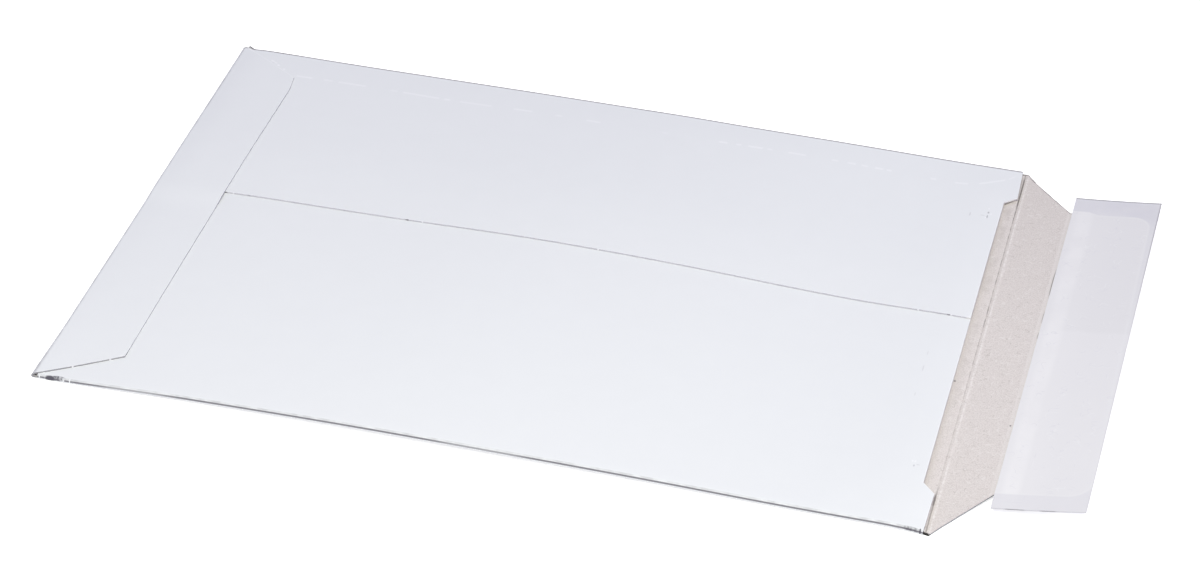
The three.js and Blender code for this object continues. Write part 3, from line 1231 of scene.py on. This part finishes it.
@dataclass
class EnvelopeSheet:
    """The whole folded blank: body, bottom flap and closing flap as one closed sheet."""

    form: PocketForm
    flap: ClosingFlapForm
    shift: float
    finishes: tuple[Finish, ...] = (CoatedFace(), GreyFace(), CutEdge())
    fold_inset: float = 1.4
    fold_radius: float = 0.7
    bottom_reach: float = 1.9
    bottom_radius: float = 0.9
    notch_gap: float = 1.7
    near_fold_gap: float = 2.0
    far_fold_gap: float = 2.6
    shoulder_width: float = 21.6
    notch_run: float = 4.6
    mouth_recess: float = 6.55
    groove_place: float = -1.2
    groove_depth: float = 0.22
    groove_half: float = 0.32
    bead_place: float = 0.1
    bead_height: float = 0.09
    bead_half: float = 0.35
    bottom_depth: float = 29.7
    bottom_near_inset: float = 17.9
    bottom_far_inset: float = 19.2
    corner_draw: float = 1.1
    draw_across: Climb = Climb(91.0, 10.0)
    near_swell: float = 0.6
    near_spread: float = 0.9
    near_across: Climb = Climb(85.0, 34.0)
    spread_across: Climb = Climb(100.0, 19.0)
    far_swell: float = 0.35
    far_across: Climb = Climb(20.0, 80.0)
    fold_steps: int = 12
    corner_steps: int = 8
    station_step: float = 3.0
    fine_end: float = -164.4
    fine_step: float = 0.35
    flap_line: float = -140.5
    level_end: float = 150.0
    drawn_shares: tuple[float, ...] = (
        0.1, 0.2, 0.3, 0.4, 0.5, 0.6, 0.7, 0.8, 0.9, 0.92, 0.93, 0.94, 0.95, 0.96, 0.98, 1.0,
    )  # fmt: skip
    lane_step: float = 3.2
    front_step: float = 4.0
    hump_run: float = 1.6
    hump_step: float = 0.4
    bottom_step: float = 2.4
    crease_rows: tuple[float, ...] = (0.0, 0.25, 0.5, 0.8, 1.1, 1.4, 1.8, 2.3, 3.0, 4.0)
    plain_start: float = 6.0
    plain_step: float = 3.0
    # places across of the far panel's painted ridge highlight, along the length
    ridge_highlight: Knots = (
        (-141, 103.2), (-120, 103.6), (-60, 103.0), (-40, 103.6), (-10, 103.3), (45, 103.8),
        (60, 104.4), (115, 104.2), (132, 103.5), (145, 103.4), (152, 105.3), (158, 108.8),
        (163, 112.2), (166, 116),
    )  # fmt: skip

    @property
    def start(self) -> float:
        """Where the side panels begin, inside the bottom fold."""
        return -self.form.half_length + self.fold_inset

    def mouth(self, y: Array) -> Array:
        """Where a side panel ends: shoulder, slanted side of the notch, then the recessed edge.

        Args:
            y: Places across.

        Returns:
            Places along.
        """
        inner = self.form.half_width - self.shoulder_width - np.abs(y)
        fold_gap = np.where(np.asarray(y) > 0, self.far_fold_gap, self.near_fold_gap)
        shoulder = (fold_gap - self.notch_gap) * np.clip(-inner / self.shoulder_width, 0, 1)
        notch = (self.mouth_recess - self.notch_gap) * np.clip(inner / self.notch_run, 0, 1)
        return self.form.half_length - self.notch_gap - shoulder - notch

    def crease_relief(self, past: Array) -> Array:
        """Height of the closing crease's groove and bead, two bells at set places past the crease."""
        groove = self.groove_depth * np.exp(-(((past - self.groove_place) / self.groove_half) ** 2))
        return self.bead_height * np.exp(-(((past - self.bead_place) / self.bead_half) ** 2)) - groove

    def front_lanes(self) -> Array:
        """Lanes across the front panel, from far to near, short of the folds by a small bevel."""
        return lanes((-self.flap.root_near, 0.0, self.flap.root_far), self.front_step)[::-1]

    def half_turn(self) -> Array:
        """Angles of a folded border's lanes, from a quarter turn up to a quarter turn down."""
        return np.linspace(math.pi / 2, -math.pi / 2, self.fold_steps + 1)

    def stations(self, end: Array) -> Array:
        """Stations along the length, level at first and then drawn out to each lane's own end.

        Args:
            end: Where each lane ends.

        Returns:
            Station places, one row per station and one column per lane.
        """
        fine = lanes((self.start, self.fine_end), self.fine_step)[:-1]
        plain = lanes((self.fine_end, self.flap_line, self.level_end), self.station_step)
        level = np.concatenate([fine, plain])
        drawn = self.level_end + np.outer(self.drawn_shares, end - self.level_end)
        return np.concatenate([np.repeat(level[:, None], len(end), axis=1), drawn])

    def panel(self, ys: Array, under: Heights) -> tuple[Array, Array]:
        """Carries a side panel's lanes along the length.

        Args:
            ys: Places of the lanes across.
            under: Height of the panel's inside.

        Returns:
            Outside grid and inside grid.
        """
        x = self.stations(self.mouth(ys))
        z = under(x, ys)
        return grid(x, ys, z + self.form.board), grid(x, ys, z)

    def fold(self, angles: Array, side: float) -> tuple[Array, Array]:
        """Carries a long fold along the length: a half turn about the fold's own centre.

        Args:
            angles: Angles of the lanes, a quarter turn up to a quarter turn down.
            side: 1 for the far fold and -1 for the near one.

        Returns:
            Outside grid and inside grid.
        """
        form = self.form
        x = self.stations(self.mouth(np.full(len(angles), side * form.half_width)))
        centre = np.full_like(x, side * form.pocket_half)
        half_room = (form.gap(x, centre) + form.bulge(x, centre)) / 2
        middle = form.lift(x, centre) + form.board + half_room
        grids = []
        for thick in (form.board, 0.0):
            reach = form.fold_reach - form.board + thick
            y = side * (form.pocket_half + reach * np.cos(angles))
            grids.append(grid(x, y, middle + (half_room + thick) * np.sin(angles)))
        return grids[0], grids[1]

    def front(self) -> tuple[Array, Array]:
        """Carries the front panel along the length, with the closing crease's groove on its inside.

        Returns:
            Outside grid and inside grid.
        """
        form = self.form
        ys = self.front_lanes()
        x = self.stations(np.full(len(ys), form.half_length))
        y = self.flap.aside(x - form.half_length, ys)
        z = form.lift(x, y)
        top = z + form.board + self.crease_relief(x - form.half_length)
        return grid(x, y, z), grid(x, y, top)

    def body(self) -> SheetPatch:
        """Far panel, far fold, front, near fold and near panel, carried along the length.

        Returns:
            The body's patch, whose lanes run from the seam round the pocket to the hidden edge.
        """
        form = self.form
        shoulder = form.half_width - self.shoulder_width
        notch = shoulder - self.notch_run
        hump = form.pocket_half - self.hump_run
        far_breaks = (form.seam_edge, form.hidden_edge + form.board, notch, shoulder, hump)
        near_breaks = (-form.pocket_half, -shoulder, -notch, form.hidden_edge)
        far_ys = lanes(far_breaks, self.lane_step)[:-1]
        far_ys = np.concatenate([far_ys, lanes((hump, form.pocket_half), self.hump_step)[:-1]])
        near_ys = lanes(near_breaks, self.lane_step)[1:]
        front_ys = self.front_lanes()
        turn = self.half_turn()
        parts = [
            self.panel(far_ys, form.far_under),
            self.fold(turn, 1.0),
            self.front(),
            self.fold(turn[::-1], -1.0),
            self.panel(near_ys, form.near_under),
        ]
        outside, inside = (np.concatenate(grids, axis=1) for grids in zip(*parts))
        arc = form.pocket_half + self.fold_radius * (math.pi / 2 + turn)
        over = 2 * form.pocket_half + self.fold_radius * math.pi
        wrap = np.concatenate([over - far_ys, arc, front_ys, -arc[::-1], -over - near_ys])
        blank = grid(outside[..., 0], wrap)
        far = slice(0, len(far_ys))
        front_first = len(far_ys) + len(turn)
        front_last = front_first + len(front_ys) - 1
        rim = self.mouth(outside[..., 1]) - outside[..., 0]
        rim[:, far] = np.minimum(rim[:, far], far_ys - form.seam_edge)
        rim[:, front_first : front_last + 1] = UNMARKED_MM
        trace = np.full_like(rim, UNMARKED_MM)
        trace[:, far] = far_ys - through(self.ridge_highlight, outside[:, far, 0])
        cut = {
            Side.FIRST_COLUMN: WHOLE,
            Side.LAST_COLUMN: WHOLE,
            Side.FIRST_ROW: (slice(0, front_first - 1), slice(front_last + 1, None)),
            Side.LAST_ROW: (slice(0, front_first), slice(front_last, None)),
        }
        return SheetPatch(outside, inside, blank, cut, {"rim": rim, "trace": trace})

    def bottom_flap(self) -> SheetPatch:
        """Bottom flap: from its free edge over the panels, then a half turn down to the front.

        The turn is a half ellipse. It swells a little towards both corners, sideways too at the
        near one. The free edge is drawn back a little at its far corner.

        Returns:
            The bottom flap's patch, whose rows run from the free edge to the front panel.
        """
        form = self.form
        root = np.concatenate([[form.pocket_half], self.front_lanes(), [-form.pocket_half]])
        side = root / form.pocket_half
        reach = lanes((self.fold_inset, self.bottom_depth), self.bottom_step)[::-1]
        share = (reach - self.fold_inset) / (self.bottom_depth - self.fold_inset)
        inset = np.where(side > 0, self.bottom_far_inset, self.bottom_near_inset)
        half = form.pocket_half + (form.half_width - inset - form.pocket_half) * share[:, None]
        y = half * side
        drawn = self.corner_draw * share[:, None] * self.draw_across.at(y)
        x = -form.half_length + reach[:, None] - drawn
        z = form.flap_under(x, y)
        turn = self.half_turn()[1:, None]
        begin = np.full_like(root, self.start)
        foot = form.lift(begin, root)
        tall = form.flap_under(begin, root) + form.board - foot
        near = self.near_across.at(-root)
        deep = self.bottom_reach + self.near_swell * near + self.far_swell * self.far_across.at(root)
        arc_y = root - self.near_spread * near * self.spread_across.at(-root) * np.cos(turn)
        grids = []
        for thick in (form.board, 0.0):
            off = form.board - thick
            arc_x = self.start - (deep - off) * np.cos(turn)
            arc_z = foot + off + (tall / 2 - off) * (1 + np.sin(turn))
            grids.append(np.concatenate([grid(x, y, z + thick), grid(arc_x, arc_y, arc_z)]))
        outside, inside = grids
        on_arc = (math.pi / 2 + turn[:, 0]) * self.bottom_radius
        on_flap = self.bottom_radius * math.pi + reach - self.fold_inset
        along = self.start - np.concatenate([on_flap, on_arc])
        blank = grid(along[:, None], outside[..., 1])
        rim = np.full(outside.shape[:2], UNMARKED_MM)
        rim[: len(reach)] = np.minimum((self.bottom_depth - reach)[:, None], half - np.abs(y))
        cut = {Side.FIRST_ROW: WHOLE, Side.FIRST_COLUMN: WHOLE, Side.LAST_COLUMN: WHOLE}
        return SheetPatch(outside, inside, blank, cut, {"rim": rim})

    def closing_flap(self) -> SheetPatch:
        """Closing flap: from the crease out to its free edge, with the crease's small bead.

        Returns:
            The closing flap's patch, whose rows run from the crease to the free edge.
        """
        flap = self.flap
        straight = flap.depth - flap.corner
        plain = lanes((self.plain_start, flap.neck_near, flap.neck_far, straight), self.plain_step)
        corner = np.sin(np.linspace(0, math.pi / 2, self.corner_steps + 1)[1:])
        round_end = flap.depth - flap.corner * (1 - corner)
        s = np.concatenate([self.crease_rows, plain, round_end])[:, None]
        root = self.front_lanes()
        half = flap.half_at(s, root)
        y = flap.aside(s, half * root / flap.half_at(0 * s, root))
        outside = flap.point(s, y, 0 * y)
        inside = flap.point(s, y, flap.board + self.crease_relief(s) + 0 * y)
        blank = grid(flap.crease + s, y)
        slant = (flap.root_far - flap.free_far) / flap.neck_far
        square = np.where(s < flap.neck_far, math.cos(math.atan(slant)), 1.0)
        rim = np.minimum((half - np.abs(y)) * square, flap.depth - s)
        cut = {Side.LAST_ROW: WHOLE, Side.FIRST_COLUMN: WHOLE, Side.LAST_COLUMN: WHOLE}
        return SheetPatch(outside, inside, blank, cut, {"rim": rim})

    def build(self) -> bpy.types.Object:
        """Makes the sheet's object and dresses it.

        Returns:
            The envelope's object.
        """
        patches = [self.body(), self.bottom_flap(), self.closing_flap()]
        sheet = Sheet("envelope_sheet", patches, self.form.board, self.shift)
        return sheet.mesh_object([finish.material() for finish in self.finishes])


@dataclass
class FlapStrip:
    """A thin strip that lies on the closing flap, its long side across the envelope."""

    name: str
    finish: Finish
    start: float
    width: float
    length: float
    thickness: float
    above: float
    middle: float = 0.0
    turn_deg: float = 0.0
    near_curl: float = 0.0
    curl_run: float = 22.0
    along_step: float = 2.0
    across_step: float = 3.0

    def build(self, flap: ClosingFlapForm, shift: float) -> bpy.types.Object:
        """Makes the strip's object on the flap's own curved surface and dresses it.

        Args:
            flap: Form that the strip follows.
            shift: From the body frame to the row frame along x.

        Returns:
            The strip's object.
        """
        half_width, half_length = self.width / 2, self.length / 2
        along = lanes((-half_width, half_width), self.along_step)[:, None]
        across = lanes((-half_length, half_length), self.across_step)[None, :]
        turn = math.radians(self.turn_deg)
        s = self.start + half_width + along * math.cos(turn) - across * math.sin(turn)
        y = self.middle + along * math.sin(turn) + across * math.cos(turn)
        curl = self.near_curl * Climb(half_length - self.curl_run, self.curl_run).at(-across)
        under = flap.board + self.above + curl + 0 * s
        blank = grid(along, across)
        rim = np.minimum(half_width - np.abs(along), half_length - np.abs(across))
        patch = SheetPatch(
            outside=flap.point(s, y, under + self.thickness),
            inside=flap.point(s, y, under),
            blank=blank,
            cut={side: WHOLE for side in Side},
            marks={"rim": rim, "trace": flap.inside_by(s, y)},
        )
        sheet = Sheet(self.name, [patch], self.thickness, shift)
        return sheet.mesh_object([self.finish.material()] * len(Face))


@dataclass(frozen=True)
class PhotoCamera:
    """Camera at the photograph's viewing angle, for an image of 1200 by 572 pixels."""

    azimuth_deg: float = 13.615
    elevation_deg: float = 35.876
    roll_deg: float = 1.381
    distance_mm: float = 1335.76
    focal_px: float = 3414.15
    target_mm: tuple[float, float, float] = (-7.472, -4.337, 0.0)
    nudge_px: tuple[float, float] = (0.5, 0.5)
    image_width_px: float = 1200.0
    sensor_mm: float = 36.0
    clip_m: tuple[float, float] = (0.05, 50.0)

    def build(self) -> None:
        """Makes the camera, at a distance behind its target, and sets it as the scene's own."""
        az, el, roll = (math.radians(a) for a in (self.azimuth_deg, self.elevation_deg, self.roll_deg))
        back = np.array([math.sin(az) * math.cos(el), -math.cos(az) * math.cos(el), math.sin(el)])
        level = np.cross([0.0, 0.0, 1.0], back)
        level /= np.linalg.norm(level)
        upright = np.cross(back, level)
        right = math.cos(roll) * level + math.sin(roll) * upright
        up = -math.sin(roll) * level + math.cos(roll) * upright
        per_px = self.distance_mm / self.focal_px
        place = np.array(self.target_mm) + back * self.distance_mm
        place = place - right * self.nudge_px[0] * per_px + up * self.nudge_px[1] * per_px
        data = bpy.data.cameras.new("photo_camera")
        data.sensor_width = self.sensor_mm
        data.lens = self.focal_px * self.sensor_mm / self.image_width_px
        data.clip_start, data.clip_end = self.clip_m
        camera = put_in_scene("photo_camera", data)
        turned = np.eye(4)
        turned[:3, :3] = np.column_stack([right, up, back])
        turned[:3, 3] = place * MM
        camera.matrix_world = Matrix(turned.tolist())
        bpy.context.scene.camera = camera


@dataclass(frozen=True)
class SoftBox:
    """A square area lamp that faces the middle of the envelope."""

    name: str
    place: tuple[float, float, float]
    size: float
    watts: float
    colour: str

    def build(self) -> None:
        """Makes the lamp."""
        data = bpy.data.lights.new(self.name, "AREA")
        data.shape = "SQUARE"
        data.size = self.size
        data.energy = self.watts
        data.color = linear(self.colour)[:3]
        lamp = put_in_scene(self.name, data)
        lamp.location = self.place
        lamp.rotation_mode = "QUATERNION"
        lamp.rotation_quaternion = (-Vector(self.place)).to_track_quat("-Z", "Y")


@dataclass
class Studio:
    """White table, soft lamps and a plain white surround."""

    boxes: tuple[SoftBox, ...] = (
        SoftBox("key_softbox", (0.13, -0.91, 1.31), 0.8, 20.8, "#FDFFEB"),
        SoftBox("side_softbox", (1.5, 0.2, 0.55), 0.8, 5.0, "#FFFFFF"),
    )
    ambient: str = "#D9D4FF"
    ambient_strength: float = 0.372
    surround: str = "#FFFFFF"
    table_white: str = "#F4F4F4"
    table_glow: float = 0.6
    table_half: float = 6.0
    table_drop_mm: float = 0.02

    def seen_directly(self, tree: bpy.types.NodeTree) -> Mask:
        """One for rays from the camera, a mirror or glass, and none for rays that light things.

        Args:
            tree: Node tree to add to.

        Returns:
            The mask.
        """
        path = add_node(tree, "ShaderNodeLightPath").outputs
        kinds = ("Is Camera Ray", "Is Glossy Ray", "Is Transmission Ray")
        return reduce(Mask.__or__, (Mask(tree, path[kind]) for kind in kinds))

    def build_world(self) -> None:
        """Makes the surround: white to look at, and an even ambient light."""
        world = bpy.data.worlds.new("white_surround")
        bpy.context.scene.world = world
        world.use_nodes = True
        tree = world.node_tree
        tree.nodes.clear()
        glow = {"Color": linear(self.ambient), "Strength": self.ambient_strength}
        light = add_node(tree, "ShaderNodeBackground", glow).outputs[0]
        white = add_node(tree, "ShaderNodeBackground", {"Color": linear(self.surround)}).outputs[0]
        either = {0: self.seen_directly(tree), 1: light, 2: white}
        mixed = add_node(tree, "ShaderNodeMixShader", either).outputs[0]
        add_node(tree, "ShaderNodeOutputWorld", {"Surface": mixed})

    def table_material(self) -> bpy.types.Material:
        """White table paint that keeps the shadow, glows a little to the eye and hides from below.

        Returns:
            The table's material.
        """
        material = bpy.data.materials.new("white_table_paint")
        material.use_nodes = True
        tree = material.node_tree
        tree.nodes.clear()
        paint = add_node(tree, "ShaderNodeBsdfDiffuse", {"Color": linear(self.table_white)}).outputs[0]
        level = self.seen_directly(tree) * self.table_glow
        glow = add_node(tree, "ShaderNodeEmission", {"Strength": level}).outputs[0]
        both = add_node(tree, "ShaderNodeAddShader", {0: paint, 1: glow}).outputs[0]
        clear = add_node(tree, "ShaderNodeBsdfTransparent").outputs[0]
        below = add_node(tree, "ShaderNodeNewGeometry").outputs["Backfacing"]
        seen = add_node(tree, "ShaderNodeMixShader", {0: below, 1: both, 2: clear}).outputs[0]
        add_node(tree, "ShaderNodeOutputMaterial", {"Surface": seen})
        return material

    def build_table(self) -> None:
        """Makes the table top, just under the envelope."""
        half, low = self.table_half, -self.table_drop_mm * MM
        corners = [(-half, -half, low), (half, -half, low), (half, half, low), (-half, half, low)]
        mesh = bpy.data.meshes.new("white_table")
        mesh.from_pydata(corners, [], [(0, 1, 2, 3)])
        mesh.materials.append(self.table_material())
        table = put_in_scene("white_table", mesh)

    def build(self) -> None:
        """Makes the surround, the table and the lamps."""
        self.build_world()
        self.build_table()
        for box in self.boxes:
            box.build()


def place_piece(piece: bpy.types.Object, node: str) -> None:
    """Puts a piece on the one body, in the place of its CAD node.

    Args:
        piece: Finished object.
        node: CAD node that it stands for.
    """
    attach(piece, "root")
    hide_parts(node)
    LOG.info("%s: %d points, for %s", piece.name, len(piece.data.vertices), node)


def main() -> None:
    """Builds the envelope, its camera and its studio."""
    logging.basicConfig(level=logging.INFO, format="%(name)s: %(message)s")
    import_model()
    form = PocketForm()
    flap = ClosingFlapForm()
    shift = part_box("envelope_board")[0].x / MM + form.half_length
    PhotoCamera().build()
    envelope = EnvelopeSheet(form, flap, shift).build()
    place_piece(envelope, "envelope_board")
    band = FlapStrip(
        "adhesive_band", TackyFilm(), start=22.5, width=28.0, length=182.0, thickness=0.14, above=0.04
    ).build(flap, shift)
    place_piece(band, "adhesive_strip")
    liner = FlapStrip(
        "liner_strip",
        ReleasePaper(),
        start=20.55,
        width=34.5,
        length=207.5,
        thickness=0.12,
        above=0.24,
        middle=1.24,
        turn_deg=-0.55,
        near_curl=0.3,
    ).build(flap, shift)
    place_piece(liner, "release_liner")
    Studio().build()
    bpy.context.scene.view_settings.view_transform = "Standard"
    bpy.context.view_layer.update()


if __name__ == "__main__":
    main()
